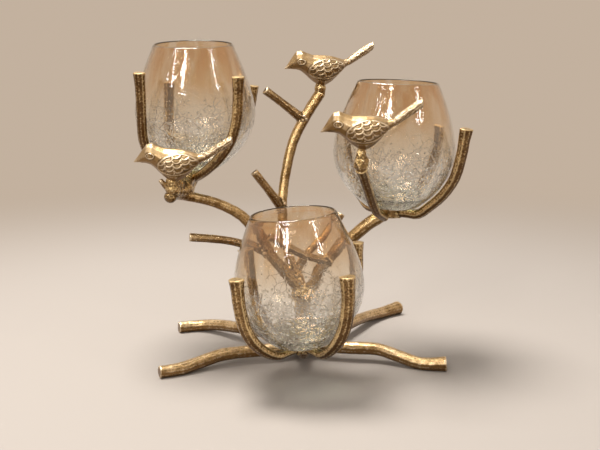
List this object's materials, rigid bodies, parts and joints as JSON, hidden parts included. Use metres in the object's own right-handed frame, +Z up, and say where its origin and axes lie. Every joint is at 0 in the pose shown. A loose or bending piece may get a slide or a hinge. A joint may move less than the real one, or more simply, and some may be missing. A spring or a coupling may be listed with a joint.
{
  "type": "candle stand",
  "caption": "Antique-gold cast-metal candle stand shaped as a small tree, with loose crackle-glass cups in pronged cradles and small cast birds on its branches.",
  "frame": {"origin": "on the table, in the middle of the stand's outline seen from above; the trunk stands 3.2 mm to its right and 2.1 mm in front", "axes": "+Z up, -Y faces the viewer (the side the birds and the front cup are on), +X to the viewer's right"},
  "size_m": [0.2472, 0.2292, 0.2405],
  "materials": {
    "gold": "antique gold, cast and brushed, satin",
    "pale_gold": "antique gold rubbed bright on the high parts",
    "glass": "clear blown crackle glass with an amber lustre towards the rim"
  },
  "bodies": {
    "frame": {"root_crown": "gold", "leg_front_left": "gold", "leg_front_right": "gold", "leg_back_left": "gold", "leg_back_right": "gold", "trunk": "gold", "fork_knot": "pale_gold", "front_arm": "gold", "left_branch": "gold", "centre_branch": "gold", "right_branch": "gold", "left_twig": "pale_gold", "right_twig": "pale_gold", "fork_twig": "pale_gold", "middle_twig": "pale_gold", "upper_twig": "pale_gold", "front_boss": "gold", "front_prong_1": "gold", "front_prong_2": "gold", "front_prong_3": "gold", "front_prong_4": "gold", "left_boss": "gold", "left_bracket": "gold", "left_prong_1": "gold", "left_prong_2": "gold", "left_prong_3": "gold", "left_prong_4": "gold", "right_boss": "gold", "right_prong_1": "gold", "right_prong_2": "gold", "right_prong_3": "gold", "right_prong_4": "gold", "left_bird_post": "pale_gold", "right_bird_post": "pale_gold", "top_bird_post": "pale_gold", "left_spur": "pale_gold", "left_bird": "pale_gold", "right_bird": "pale_gold", "top_bird": "pale_gold"},
    "front_cup_body": {"front_cup": "glass"},
    "left_cup_body": {"left_cup": "glass"},
    "right_cup_body": {"right_cup": "glass"}
  },
  "joints": [
    {"name": "front_cup_lift", "type": "slide", "parent": "frame", "child": "front_cup_body", "axis": [-0.0785, 0, 0.9969], "range_m": [0, 0.045]},
    {"name": "left_cup_lift", "type": "slide", "parent": "frame", "child": "left_cup_body", "axis": [0, -0.1045, 0.9945], "range_m": [0, 0.11]},
    {"name": "right_cup_lift", "type": "slide", "parent": "frame", "child": "right_cup_body", "axis": [0.0349, -0.0314, 0.9989], "range_m": [0, 0.1]}
  ]
}
